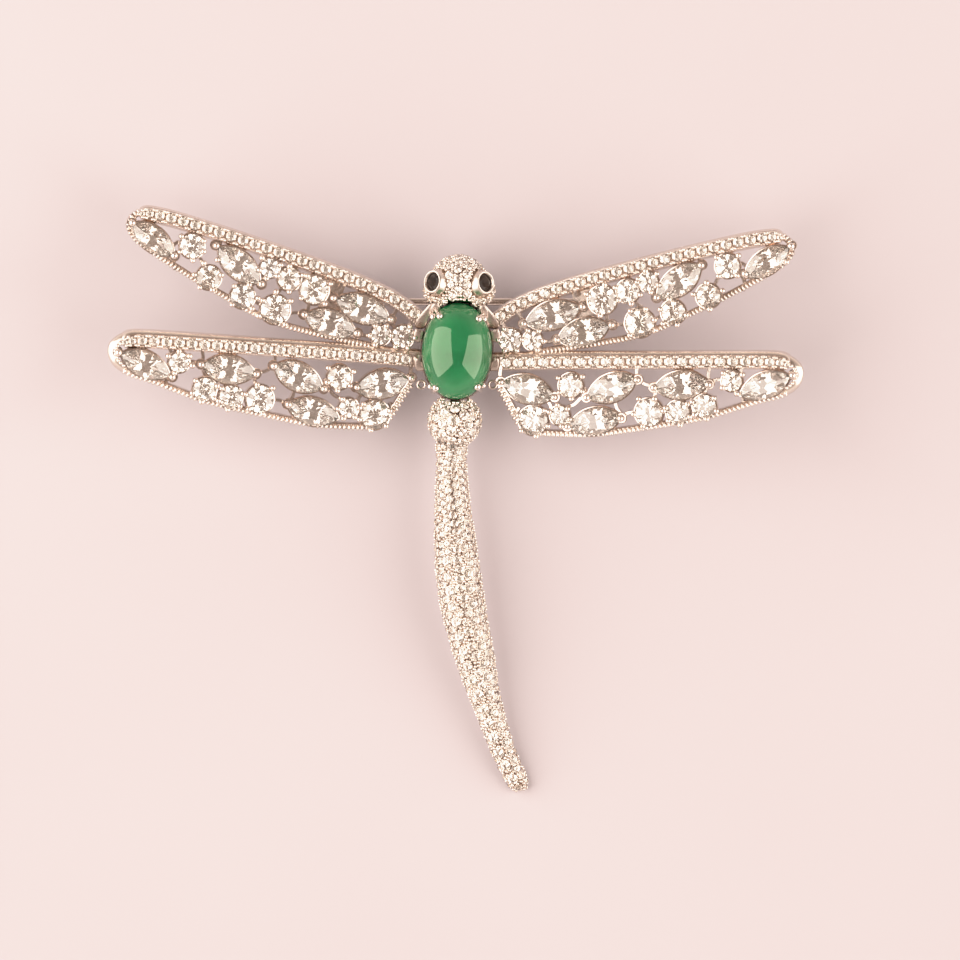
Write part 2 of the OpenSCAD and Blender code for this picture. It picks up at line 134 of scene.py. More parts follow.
def rot(axis, q):
    c, s = cos(q), sin(q)
    m = np.eye(4)
    a, b = {"x": (1, 2), "y": (2, 0), "z": (0, 1)}[axis]
    m[a, a] = m[b, b] = c
    m[a, b], m[b, a] = -s, s
    return m


def wing_matrix(w, s):
    return trans(*PLACE) @ np.diag([s, 1, 1, 1.0]) @ trans(*ROOT[w, s]) @ rot("z", SPAN[w, s]) @ rot("y", -RISE[w]) @ rot("x", PITCH[w])


def at(w, p):
    return np.array([p[0] / cos(RISE[w]), p[1] / cos(PITCH[w])])


def frame_at(pos, normal, spin=0.0):
    """Matrix whose +Z is the normal, at pos."""
    n = np.asarray(normal, float)
    n = n / np.linalg.norm(n)
    x = np.cross((0, 1, 0), n) if abs(n[1]) < 0.9 else np.cross((0, 0, 1), n)
    x = x / np.linalg.norm(x)
    y = np.cross(n, x)
    m = np.eye(4)
    m[:3, 0], m[:3, 1], m[:3, 2], m[:3, 3] = x, y, n, pos
    return m @ rot("z", spin)


# ---------------------------------------------------------------- meshes

class Piece:
    """Collects closed shells in millimetres and makes one object of them."""

    def __init__(self):
        self.v, self.f, self.n = [], [], 0

    def add(self, v, f, m=None):
        v = np.asarray(v, float)
        if m is not None:
            v = v @ m[:3, :3].T + m[:3, 3]
        self.v.append(v)
        n = self.n
        self.f += [tuple(i + n for i in q) for q in f]
        self.n += len(v)

    def make(self, name, material, slot, nodes=(), sharp=38, flat=False):
        mesh = bpy.data.meshes.new(name)
        mesh.from_pydata((np.vstack(self.v) * MM).tolist(), [], self.f)
        bm = bmesh.new()
        bm.from_mesh(mesh)
        bmesh.ops.recalc_face_normals(bm, faces=bm.faces)
        bm.to_mesh(mesh)
        bm.free()
        if flat:
            mesh.polygons.foreach_set("use_smooth", [False] * len(mesh.polygons))
        else:
            mesh.polygons.foreach_set("use_smooth", [True] * len(mesh.polygons))
            mesh.set_sharp_from_angle(angle=math.radians(sharp))
        mesh.materials.append(material)
        obj = bpy.data.objects.new(name, mesh)
        bpy.context.scene.collection.objects.link(obj)
        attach(obj, "root")
        if nodes:
            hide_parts(*nodes)
        return obj


def ring_faces(rings, n, wrap, close_rings):
    """Quads between rings of n points each; wrap closes each ring and close_rings joins the last ring to the first."""
    out = []
    for a in range(rings if close_rings else rings - 1):
        b = (a + 1) % rings
        for i in range(n if wrap else n - 1):
            j = (i + 1) % n
            out.append((a * n + i, a * n + j, b * n + j, b * n + i))
    return out


def loft(rings, closed=False, caps=True):
    """Rings of equal length, each closed. closed makes a torus of them."""
    k, n = len(rings), len(rings[0])
    f = ring_faces(k, n, True, closed)
    if not closed and caps:
        f.append(tuple(range(n)))
        f.append(tuple((k - 1) * n + i for i in reversed(range(n))))
    return np.vstack(rings), f


def revolve(profile, n=16):
    """Closed profile of (radius, height); points on the axis become one vertex."""
    v, idx = [], []
    for r, z in profile:
        if r < 1e-6:
            idx.append([len(v)] * n)
            v.append((0, 0, z))
        else:
            idx.append([len(v) + i for i in range(n)])
            v += [(r * cos(360 * i / n), r * sin(360 * i / n), z) for i in range(n)]
    f = []
    both_ends = profile[0][0] < 1e-6 and profile[-1][0] < 1e-6
    for a in range(len(profile) - 1 if both_ends else len(profile)):
        b = (a + 1) % len(profile)
        for i in range(n):
            j = (i + 1) % n
            q = [idx[a][i], idx[a][j], idx[b][j], idx[b][i]]
            q = [x for t, x in enumerate(q) if x not in q[:t]]
            if len(q) > 2:
                f.append(tuple(q))
    return v, f


def catmull(points, k=6):
    p = np.asarray(points, float)
    p = np.vstack([2 * p[0] - p[1], p, 2 * p[-1] - p[-2]])
    out = []
    for i in range(1, len(p) - 2):
        a, b, c, d = p[i - 1], p[i], p[i + 1], p[i + 2]
        for j in range(k):
            t = j / k
            out.append(0.5 * (2 * b + (c - a) * t + (2 * a - 5 * b + 4 * c - d) * t * t + (3 * b - a - 3 * c + d) * t ** 3))
    out.append(p[-2])
    return np.array(out)


def length_of(p):
    return np.r_[0, np.cumsum(np.linalg.norm(np.diff(p, axis=0), axis=1))]


def along(p, s):
    """Point and unit direction at arc length s of a polyline."""
    L = length_of(p)
    q = np.array([np.interp(s, L, p[:, k]) for k in range(p.shape[1])])
    e = 0.05
    a = np.array([np.interp(max(s - e, 0), L, p[:, k]) for k in range(p.shape[1])])
    b = np.array([np.interp(min(s + e, L[-1]), L, p[:, k]) for k in range(p.shape[1])])
    d = b - a
    return q, d / np.linalg.norm(d)


def sweep(path, profile, close=0.0):
    """Strip along a plan path. profile is a closed list of (offset to the left, height).
    With close, it narrows to a rounded end over that length."""
    p = np.asarray(path, float)
    d = np.gradient(p, axis=0)
    d /= np.linalg.norm(d, axis=1)[:, None]
    left = np.c_[-d[:, 1], d[:, 0]]
    rings = []
    L = length_of(p)
    for o in range(len(p)):
        k = max(0.0, (L[o] - L[-1] + close) / close) if close else 0.0
        g = max(0.22, math.sqrt(max(0.0, 1 - k * k)))
        rings.append(np.array([[*(p[o] + left[o] * a * g), z] for a, z in profile]))
    return loft(rings)


def tube(points, radii, n=10):
    """Round tube through points, closed at both ends."""
    p = np.asarray(points, float)
    d = np.gradient(p, axis=0)
    rings = []
    ref = np.array([0, 0, 1.0])
    for i in range(len(p)):
        t = d[i] / np.linalg.norm(d[i])
        x = np.cross(ref, t)
        if np.linalg.norm(x) < 1e-3:
            x = np.cross((1, 0, 0), t)
        x /= np.linalg.norm(x)
        y = np.cross(t, x)
        rings.append(np.array([p[i] + radii[i] * (x * cos(360 * k / n) + y * sin(360 * k / n)) for k in range(n)]))
    return loft(rings)


def ball(r, n=12, k=8, sx=1.0, sy=1.0, sz=1.0):
    prof = [(r * sin(180 * i / k), -r * cos(180 * i / k)) for i in range(k + 1)]
    prof[0] = (0, -r)
    prof[-1] = (0, r)
    v, f = revolve(prof, n)
    v = np.asarray(v) * (sx, sy, sz)
    return v, f


# ---------------------------------------------------------------- stones

def lens_outline(length, width, grow=0.0, n=12, tip=0.0):
    """Outline of a marquise with n steps on each arc, grown outwards."""
    a, b = length / 2, width / 2
    r = (a * a + b * b) / (2 * b)
    R = r + grow
    t = math.degrees(math.acos(min(1, (r - b) / R)))
    up = [(R * sin(t - 2 * t * i / n), R * cos(t - 2 * t * i / n) - (r - b)) for i in range(n)]
    return np.array(up + [(-x, -y) for x, y in up])


def facets(outline, crown, depth, table=0.56, girdle=0.02, keel=0.0):
    """A brilliant cut over an outline of 2 N points, which starts on the +X axis. Heights are in the outline's units."""
    o = np.asarray(outline, float)
    n = len(o) // 2
    even, odd = o[0::2], o[1::2]
    T = np.c_[even * table, np.full(n, crown)]
    rs = 0.80
    rho = rs * math.cos(math.pi / n)
    S = np.c_[odd * rs, np.full(n, crown * (1 - rho) / (1 - table))]
    G = np.c_[o, np.full(2 * n, girdle / 2)]
    H = np.c_[o, np.full(2 * n, -girdle / 2)]
    rl = 0.26
    L = np.c_[odd * rl, np.full(n, -depth * (1 - rl * math.cos(math.pi / n)))]
    L[:, 0] += keel * np.sign(odd[:, 0]) * abs(odd[:, 0]) * 0.35
    C = np.array([[keel, 0, -depth], [-keel, 0, -depth]] if keel else [[0, 0, -depth]])
    v = np.vstack([T, S, G, H, L, C])
    t0, s0, g0, h0, l0, c0 = 0, n, 2 * n, 4 * n, 6 * n, 7 * n
    f = [tuple(range(n))]
    for k in range(n):
        m, p = (k - 1) % n, (k + 1) % n
        g, g1, g2 = g0 + 2 * k, g0 + 2 * k + 1, g0 + (2 * k + 2) % (2 * n)
        h, h1, h2 = h0 + 2 * k, h0 + 2 * k + 1, h0 + (2 * k + 2) % (2 * n)
        f.append((t0 + k, s0 + k, t0 + p))
        f += [(t0 + k, s0 + m, g), (t0 + k, g, s0 + k)]
        f += [(s0 + k, g, g1), (s0 + k, g1, g2)]
        f += [(g, h, h1, g1), (g1, h1, h2, g2)]
        f += [(l0 + k, h1, h), (l0 + k, h2, h1)]
        if keel:
            c = c0 if even[k][0] > 1e-6 else c0 + 1 if even[k][0] < -1e-6 else None
            if c is None:
                near = c0 if odd[m][0] > 0 else c0 + 1
                far = c0 + 1 if near == c0 else c0
                f += [(near, l0 + m, h), (near, h, far), (far, h, l0 + k)]
            else:
                f += [(c, l0 + m, h), (c, h, l0 + k)]
        else:
            f += [(c0, l0 + m, h), (c0, h, l0 + k)]
    return v, f


def brilliant(d, table=0.56, crown=0.155, depth=0.425):
    o = [(d / 2 * cos(22.5 * i), d / 2 * sin(22.5 * i)) for i in range(16)]
    return facets(o, crown * d, depth * d, table=table, girdle=0.02 * d)


PAVED = brilliant(1.0, table=0.44, crown=0.17)
BEAD = ball(1.0, 8, 5)
BALL = ball(1.0, 14, 9)
TOOTH = ball(1.0, 8, 6)
LOOP = loft([np.array([((0.42 + 0.15 * cos(60 * k)) * cos(24 * i), (0.42 + 0.15 * cos(60 * k)) * sin(24 * i), 0.15 * sin(60 * k)) for k in range(6)])
             for i in range(15)], closed=True)
CUP = revolve([(0, -0.52), (0.22, -0.47), (0.505, -0.03), (0.52, 0.035), (0.55, 0.055), (0.585, 0.01), (0.595, -0.12), (0.58, -0.62), (0, -0.66)], 16)
THIN_CUP = revolve([(0, -0.48), (0.49, -0.04), (0.515, 0.03), (0.55, 0.02), (0.57, -0.10), (0.42, -0.56), (0, -0.60)], 12)


def put(piece, shape, m, scale=1.0):
    v, f = shape
    piece.add(np.asarray(v) * scale, f, m)


def set_stone(metal, stones, m, d, cup=CUP, tilt=4.0):
    """A small stone in its cup, on a matrix whose +Z is the surface's normal."""
    put(metal, cup, m, d)
    t = m @ rot("z", rng.uniform(0, 360)) @ rot("x", rng.uniform(-tilt, tilt)) @ trans(0, 0, 0.03 * d)
    put(stones, PAVED, t, d)


# ---------------------------------------------------------------- materials

def nodes_of(name):
    mat = bpy.data.materials.new(name)
    mat.use_nodes = True
    t = mat.node_tree
    return mat, t, t.nodes["Principled BSDF"]


def coords(t, scale=(1, 1, 1)):
    c = t.nodes.new("ShaderNodeTexCoord")
    m = t.nodes.new("ShaderNodeMapping")
    m.inputs["Scale"].default_value = scale
    t.links.new(c.outputs["Object"], m.inputs["Vector"])
    return m.outputs["Vector"]


def noise(t, vec, scale, detail=3.0, rough=0.55, distortion=0.0):
    n = t.nodes.new("ShaderNodeTexNoise")
    n.inputs["Scale"].default_value = scale
    n.inputs["Detail"].default_value = detail
    n.inputs["Roughness"].default_value = rough
    n.inputs["Distortion"].default_value = distortion
    t.links.new(vec, n.inputs["Vector"])
    return n.outputs["Fac"]


def ramp(t, fac, stops):
    r = t.nodes.new("ShaderNodeValToRGB")
    el = r.color_ramp.elements
    while len(el) < len(stops):
        el.new(0.5)
    for e, (p, c) in zip(el, stops):
        e.position = p
        e.color = (*c, 1) if len(c) == 3 else c
    t.links.new(fac, r.inputs["Fac"])
    return r.outputs["Color"]


def span_of(t, fac, lo, hi, a=0.0, b=1.0):
    r = t.nodes.new("ShaderNodeMapRange")
    r.inputs["From Min"].default_value = a
    r.inputs["From Max"].default_value = b
    r.inputs["To Min"].default_value = lo
    r.inputs["To Max"].default_value = hi
    t.links.new(fac, r.inputs["Value"])
    return r.outputs["Result"]


def bump(t, bsdf, height, strength, distance):
    b = t.nodes.new("ShaderNodeBump")
    b.inputs["Strength"].default_value = strength
    b.inputs["Distance"].default_value = distance
    t.links.new(height, b.inputs["Height"])
    t.links.new(b.outputs["Normal"], bsdf.inputs["Normal"])


def metal_material(name, light, dark, rough_lo, rough_hi, bump_strength):
    """Rhodium-coloured plating: slight tone drift, fine polishing grain and tiny pits."""
    mat, t, p = nodes_of(name)
    vec = coords(t)
    tone = noise(t, vec, 420, 4)
    t.links.new(ramp(t, tone, [(0.30, dark), (0.62, light)]), p.inputs["Base Color"])
    p.inputs["Metallic"].default_value = 1.0
    grain = noise(t, vec, 2600, 3, 0.6)
    t.links.new(span_of(t, grain, rough_lo, rough_hi, 0.3, 0.7), p.inputs["Roughness"])
    fine = noise(t, vec, 3800, 2, 0.5)
    bump(t, p, fine, bump_strength, 0.00003)
    return mat


def stone_material(name, tints, ior=2.15):
    """Clear cut stone: almost colourless, with a faint drift of tint from stone to stone."""
    mat, t, p = nodes_of(name)
    vec = coords(t)
    drift = noise(t, vec, 520, 1, 0.5)
    t.links.new(ramp(t, drift, tints), p.inputs["Base Color"])
    p.inputs["Transmission Weight"].default_value = 0.955
    p.inputs["IOR"].default_value = ior
    film = noise(t, vec, 900, 2)
    t.links.new(span_of(t, film, 0.0, 0.012, 0.35, 0.75), p.inputs["Roughness"])
    return mat


METAL = metal_material("plated_metal", (0.865, 0.785, 0.725), (0.73, 0.65, 0.59), 0.08, 0.20, 0.10)
POLISH = metal_material("polished_plating", (0.865, 0.79, 0.735), (0.765, 0.69, 0.635), 0.06, 0.14, 0.04)
RIM = metal_material("rim_plating", (0.80, 0.715, 0.65), (0.68, 0.60, 0.54), 0.26, 0.34, 0.05)
# Satin plating for the plates, basket and links: its higher roughness is the real finish, but its darker base colour is
# painted shade.
SHADED_SATIN = metal_material("satin_plating_painted_shade", (0.69, 0.59, 0.53), (0.58, 0.49, 0.44), 0.24, 0.36, 0.06)
WALL = metal_material("wall_plating", (0.84, 0.75, 0.68), (0.74, 0.65, 0.58), 0.16, 0.28, 0.08)
PIN_METAL = metal_material("pin_plating", (0.82, 0.74, 0.68), (0.66, 0.58, 0.52), 0.12, 0.26, 0.12)
TINTS = [(0.30, (0.96, 0.93, 0.89)), (0.45, (1.0, 0.945, 0.87)), (0.56, (1.0, 0.92, 0.845)), (0.70, (0.985, 0.96, 0.86))]
CLEAR = stone_material("clear_stone", TINTS)
PAVE = stone_material("pave_stone", [(0.30, (0.95, 0.90, 0.84)), (0.45, (0.985, 0.915, 0.825)), (0.56, (0.985, 0.89, 0.80)), (0.70, (0.97, 0.93, 0.82))])


def cabochon_material():
    mat, t, p = nodes_of("green_cabochon")
    vec = coords(t)
    cloud = noise(t, vec, 190, 4, 0.5, 0.6)
    t.links.new(ramp(t, cloud, [(0.30, (0.006, 0.112, 0.038)), (0.50, (0.010, 0.158, 0.057)), (0.72, (0.020, 0.222, 0.083))]), p.inputs["Base Color"])
    p.inputs["IOR"].default_value = 1.75
    p.inputs["Specular Tint"].default_value = (0.86, 1.0, 0.74, 1.0)
    p.inputs["Coat Weight"].default_value = 0.12
    p.inputs["Coat IOR"].default_value = 1.6
    p.inputs["Coat Roughness"].default_value = 0.02
    p.inputs["Subsurface Weight"].default_value = 0.30
    p.inputs["Subsurface Radius"].default_value = (0.25, 1.0, 0.55)
    p.inputs["Subsurface Scale"].default_value = 0.0012
    polish = noise(t, vec, 1400, 2)
    t.links.new(span_of(t, polish, 0.02, 0.06, 0.35, 0.7), p.inputs["Roughness"])
    return mat


def eye_material():
    mat, t, p = nodes_of("dark_eye_stone")
    vec = coords(t)
    tone = noise(t, vec, 1500, 2)
    t.links.new(ramp(t, tone, [(0.35, (0.014, 0.009, 0.007)), (0.65, (0.034, 0.022, 0.017))]), p.inputs["Base Color"])
    p.inputs["IOR"].default_value = 1.55
    p.inputs["Specular IOR Level"].default_value = 0.18
    t.links.new(span_of(t, tone, 0.03, 0.10, 0.3, 0.7), p.inputs["Roughness"])
    return mat


CABOCHON, EYE = cabochon_material(), eye_material()


# ---------------------------------------------------------------- wings

def stone_list(w):
    out = [("m", at(w, m), m[2], m[3], m[4]) for m in MARQUISES[w]]
    out += [("r", at(w, r), 0.0, r[2], r[2]) for r in ROUNDS[w]]
    return out


def outline_of(st, grow=0.0, n=16):
    kind, c, turn, length, width = st
    if kind == "m":
        o = lens_outline(length, width, grow, n)
    else:
        o = np.array([(((length / 2) + grow) * cos(180 * i / n), ((length / 2) + grow) * sin(180 * i / n)) for i in range(2 * n)])
    r = rot("z", turn)[:2, :2]
    return o @ r.T + c


def bezel(piece, st, m):
    """The wall of a setting under the girdle of its stone, drawn in towards its foot."""
    profile = [(-0.07, -0.20), (-0.03, -0.10), (0.06, -0.045), (0.15, -0.06), (0.19, -0.14), (0.20, -0.75), (0.12, -1.32), (-0.02, -1.35), (-0.08, -1.0)]
    rings = [np.c_[outline_of(st, g), np.full(32, z)] for g, z in profile]
    v, f = loft(rings, closed=True)
    piece.add(v, f, m)


def prong(piece, m, edge, out, r, off):
    """Upright prong from the foot of the setting with a ball end beside the girdle, at off outside it."""
    a = edge + out * (off + 0.03)
    b = edge + out * off
    v, f = tube([(*a, -1.25), (*a, -0.6), (*a, -0.15), (*b, 0.08)], [0.15, 0.17, 0.19, 0.17], 8)
    piece.add(v, f, m)
    put(piece, BALL, m @ trans(b[0], b[1], 0.16), r)


def wing(w, s):
    m = wing_matrix(w, s)
    side = "right" if s > 0 else "left"
    inv = np.linalg.inv(m)
    metal, skirt, pave = Piece(), Piece(), Piece()
    stones = stone_list(w)
    for st in stones:
        bezel(metal, st, m)

    # short bars between settings, rounded on top
    for u0, v0, u1, v1 in BARS[w]:
        a, b = at(w, (u0, v0)), at(w, (u1, v1))
        mid = (a + b) / 2
        bend = np.array([-(b - a)[1], (b - a)[0]]) * 0.10
        path = catmull([a, mid + bend, b], 5)
        v, f = sweep(path, [(-0.21, -0.52), (-0.14, -0.38), (0.14, -0.38), (0.21, -0.52), (0.17, -1.25), (-0.17, -1.25)])
        metal.add(v, f, m)

    # paved rail: base strip, polished outer wall, cups with stones, pairs of beads
    rail = catmull([at(w, p) for p in RAIL[w]], 14)
    half, flare = RAIL_W / 2, FLARE[w]
    base = [(-half + 0.16, -0.58), (-half + 0.04, -0.64), (-half - 0.26, -1.30), (-half - 0.22, -1.40), (-half + 0.10, -1.85), (half - 0.08, -1.9), (half - 0.08, -0.70), (half - 0.18, -0.60)]
    v, f = sweep(rail, base, 0.9)
    metal.add(v, f, m)
    if w == "hind":
        prof = [(half - 0.16, -0.50), (half - 0.12, -0.22), (half - 0.05, -0.17), (half + 0.08, -0.24), (half + flare - 0.08, -0.45), (half + flare, -0.66),
                (half + flare - 0.04, -1.82), (half + flare - 0.15, -1.9), (half - 0.16, -1.9)]
    else:
        prof = [(half - 0.20, -0.90), (half - 0.14, -0.82), (half - 0.04, -0.86), (half + flare - 0.06, -1.12), (half + flare, -1.3),
                (half + flare - 0.04, -1.82), (half - 0.05, -1.9), (half - 0.20, -1.9)]
    v, f = sweep(rail, prof, 1.0)
    skirt.add(v, f, m)
    total = length_of(rail)[-1]
    pitch, d = (1.255, 0.97) if w == "fore" else (1.27, 0.99)
    inner = 0.53 if w == "fore" else 0.49
    spots = [(total - 0.32, 0.52), (total - 1.06, 0.74), (total - 2.06, 0.90)]
    q = total - 2.06 - 1.18
    while q > 0.35:
        spots.append((q, d))
        q -= pitch
    for i, (q0, d0) in enumerate(spots):
        q, t = along(rail, q0)
        left = np.array([-t[1], t[0]])
        set_stone(metal, pave, m @ trans(*(q + left * 0.03), 0.03) @ rot("z", math.degrees(math.atan2(t[1], t[0]))), d0)
        if i + 1 < len(spots):
            g = min(1.0, (spots[i + 1][1] + d0) / 2 / d + 0.08)
            q, t = along(rail, (q0 + spots[i + 1][0]) / 2)
            left = np.array([-t[1], t[0]])
            for k, o in ((1, 0.50), (-1, inner)):
                for e in (-1, 1):
                    c = q + left * k * o * g + t * e * 0.155 * g
                    put(metal, BEAD, m @ trans(c[0], c[1], 0.08), 0.175 * g)
            # little webs that carry the beads
            for k in (-1, 1):
                c = q + left * k * 0.42 * g
                put(metal, BEAD, m @ trans(c[0], c[1], -0.30) @ np.diag([1, 1, 2.4, 1.0]), 0.19 * g)
    q, t = along(rail, total)
    left = np.array([-t[1], t[0]])
    for e, o in ((0.06, 0.0), (-0.36, 0.36), (-0.34, -0.34), (-0.78, 0.46), (-0.76, -0.42)):
        c = q + t * e + left * o
        put(metal, BEAD, m @ trans(c[0], c[1], 0.0), 0.18)
    # row of fine beads along the inner side
    fine = 0.30
    for i in range(int((total - 1.6) / fine)):
        q, t = along(rail, 0.5 + i * fine)
        c = q - np.array([-t[1], t[0]]) * (half - 0.02)
        put(metal, BEAD, m @ trans(c[0], c[1], -0.46), 0.12)

    # beaded edge: a strip with separate teeth; at the tip of a hind wing a smooth wall leads round outside them
    edge = catmull([at(w, p) for p in EDGE[w]], 6)
    e = EDGE_W / 2
    total = length_of(edge)[-1]
    smooth_end = 0.0
    if w == "hind":
        lead = [(26.0, 1.63), (27.4, 1.62), (28.5, 1.52), (29.25, 1.25)] + EDGE[w][:6] + [(27.9, -2.70)]
        lead = catmull([at(w, p) for p in lead], 6)
        v, f = sweep(lead, [(-e, -1.34), (-e, -0.26), (-e + 0.05, -0.18), (-e + 0.14, -0.19), (-0.02, -0.31), (e - 0.08, -0.54), (e, -0.75), (e - 0.05, -1.34)], 0.8)
        skirt.add(v, f, m)
        smooth_end = 3.6
    v, f = sweep(edge, [(-e, -1.34), (-e, -0.26), (-e + 0.04, -0.19), (-e + 0.09, -0.20), (-e + 0.13, -0.28), (-e + 0.14, -0.56),
                        (e - 0.10, -0.58), (e - 0.05, -0.66), (e - 0.07, -1.34)])
    metal.add(v, f, m)
    s0 = 0.15
    while s0 < total - 0.1:
        q, t = along(edge, s0)
        a = math.degrees(math.atan2(t[1], t[0]))
        left = np.array([-t[1], t[0]])
        steep = w == "hind" and s0 > total - 6.4
        wide = 0.53 if steep else 0.40 if w == "fore" else 0.45
        if s0 < smooth_end:
            c = q - left * 0.36
            put(metal, BALL, m @ trans(c[0], c[1], -0.10), 0.19)
            s0 += 0.42
            continue
        long = 0.45 if steep else 0.35
        c = q + left * (0.10 if steep else 0.07)
        put(metal, TOOTH, m @ trans(c[0], c[1], -0.31 + rng.uniform(-0.02, 0.02)) @ rot("z", a) @ np.diag([wide * 0.40, long, 0.30, 1.0]))
        s0 += wide

    # prongs: the charted ball ends, drawn to the nearest girdle, and more where a stone has too few
    ends = []
    for X, Y in BALLS[w, s]:
        x, y = X / 10, Y / 10
        # the plan point on the wing's plane
        A = m[:2, :2]
        uv = np.linalg.solve(A, np.array([x + PLACE[0], y + PLACE[1]]) - m[:2, 3])
        best = None
        for k, st in enumerate(stones):
            o = outline_of(st, 0.0, 40)
            i = int(np.argmin(np.linalg.norm(o - uv, axis=1)))
            g = np.linalg.norm(o[i] - uv)
            if best is None or g < best[0]:
                out = g if np.linalg.norm(uv - st[1]) > np.linalg.norm(o[i] - st[1]) else -g
                best = (g, k, o[i], min(0.34, max(0.06, out)))
        if best[0] < 0.9:
            ends.append(best[1:])
    kept = []
    for k, p, off in ends:
        if all(np.linalg.norm(p - q) > 0.46 for _, q, _ in kept):
            kept.append((k, p, off))
    for k, st in enumerate(stones):
        c = st[1]
        if st[0] == "m":
            tips = [outline_of(st, 0.0, 16)[0], outline_of(st, 0.0, 16)[16]]
            for p in tips:
                if all(np.linalg.norm(p - q) > 0.75 for _, q, _ in kept):
                    kept.append((k, p, 0.06))
        else:
            while True:
                own = sorted(math.degrees(math.atan2(*(q - c)[::-1])) % 360 for _, q, _ in kept if np.linalg.norm(q - c) < st[3] / 2 + 0.35)
                if not own:
                    new = 40.0
                else:
                    gaps = [((own[(i + 1) % len(own)] - own[i]) % 360 or 360, own[i]) for i in range(len(own))]
                    g, a0 = max(gaps)
                    if g < 112 or len(own) >= 5:
                        break
                    new = a0 + g / (2 if g < 260 else 3)
                kept.append((k, c + st[3] / 2 * np.array([cos(new), sin(new)]), 0.14))
    for k, p, off in kept:
        st = stones[k]
        away = p - st[1]
        ax = np.array([cos(st[2]), sin(st[2])])
        if st[0] == "m" and abs(away @ ax) < st[3] / 2 - 0.4:
            away = away - ax * (away @ ax)
        away = away / np.linalg.norm(away)
        tip = st[0] == "m" and abs(away @ ax) > 0.8
        prong(metal, m, p, away, rng.uniform(0.34, 0.38) if tip else rng.uniform(0.27, 0.30) if st[0] == "m" else rng.uniform(0.27, 0.31), off)
        if tip:
            put(metal, LOOP, m @ trans(*(p + away * (off + 0.06)), -0.18))

    if w == "fore":
        # pad on the back over the post of the pin or over the catch
        x0, x1, y0, y1 = 8.1, 10.6, -1.1, 1.8
        o = [(x0 + 0.15, y0), (x1 - 0.15, y0), (x1, y0 + 0.15), (x1, y1 - 0.15), (x1 - 0.15, y1), (x0 + 0.15, y1), (x0, y1 - 0.15), (x0, y0 + 0.15)]
        v, f = loft([np.array([(x, y, z) for x, y in o]) for z in (-1.95, -1.26)])
        skirt.add(v, f, m)

    metal.make(f"{w}_{side}_settings", METAL, "plated_metal", ["frame"])
    skirt.make(f"{w}_{side}_rail_wall", WALL, "plated_metal", ["frame"])
    pave.make(f"{w}_{side}_rail_stones", PAVE, "clear_round", flat=True)

    # marquises: one piece for each node
    for i, mq in enumerate(MARQUISES[w]):
        a, b = mq[3] / 2, mq[4] / 2
        r = (a * a + b * b) / (2 * b)
        t = math.degrees(math.asin(a / r))
        o = []
        for q in range(24):
            phi = 15.0 * q
            z = t * (1 - phi / 90) if phi <= 180 else t * (1 - (phi - 180) / 90)
            p = np.array([r * sin(z), r * cos(z) - (r - b)])
            o.append(p if phi <= 180 else -p)
        o[12] = -o[0]
        v, f = facets(o, 0.165 * mq[4], 0.41 * mq[4], table=0.52, girdle=0.05, keel=0.20 * a)
        piece = Piece()
        c = at(w, mq)
        piece.add(v, f, m @ trans(c[0], c[1], 0.035) @ rot("z", mq[2]) @ rot("x", rng.uniform(-2.5, 2.5)) @ rot("y", rng.uniform(-1.2, 1.2)))
        node = f"{w}_{side}_marquise_{i + 1}"
        piece.make(node + "_cut", CLEAR, "clear_marquise", [node], flat=True)
    piece = Piece()
    for r in ROUNDS[w]:
        c = at(w, r)
        cut = brilliant(1.0, rng.uniform(0.47, 0.56), rng.uniform(0.155, 0.175), rng.uniform(0.445, 0.495))
        put(piece, cut, m @ trans(c[0], c[1], 0.02) @ rot("z", rng.uniform(0, 45)) @ rot("x", rng.uniform(-4, 4)), r[2] * 0.995)
    piece.make(f"{w}_{side}_rounds_cut", CLEAR, "clear_round", [f"{w}_{side}_rounds"], flat=True)


for w in ("fore", "hind"):
    for s in (1, -1):
        wing(w, s)

# ---------------------------------------------------------------- body

BODY = trans(*PLACE)
lo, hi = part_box("cabochon")
CAB_RISE = hi.z / MM - CAB_Z
CAB = BODY @ rot("z", CAB_TURN)


def oval(a, b, n=64):
    return np.array([(a * cos(360 * i / n), b * sin(360 * i / n)) for i in range(n)])


def cab_piece():
    p = Piece()
    rings = []
    for g, z in ((-0.12, CAB_Z - 0.85), (0.0, CAB_Z - 0.74), (0.0, CAB_Z - 0.02)):
        rings.append(np.c_[oval(CAB_W / 2 + g, CAB_L / 2 + g), np.full(64, z)])
    k = 26
    for i in range(1, k):
        q = 90 * i / k
        rings.append(np.c_[oval(CAB_W / 2 * cos(q), CAB_L / 2 * cos(q)), np.full(64, CAB_Z + CAB_RISE * sin(q))])
    v, f = loft(rings)
    v = np.vstack([v, [(0, 0, CAB_Z + CAB_RISE)]])
    f = f[:-1]
    last = (len(rings) - 1) * 64
    f += [(last + i, last + (i + 1) % 64, len(v) - 1) for i in range(64)]
    p.add(v, f, CAB)
    p.make("cabochon_polished", CABOCHON, "green_stone", ["cabochon"], sharp=50)


def dome_z(x, y, grow=0.0):
    """Height of the dome over a point given in the cabochon's own turned axes."""
    q = 1 - (x / (CAB_W / 2 + grow)) ** 2 - (y / (CAB_L / 2 + grow)) ** 2
    return CAB_Z + (CAB_RISE + grow) * math.sqrt(max(q, 0.0))


cab_piece()

body_metal, body_polish, body_shaded_satin, body_pave, body_rims = Piece(), Piece(), Piece(), Piece(), Piece()
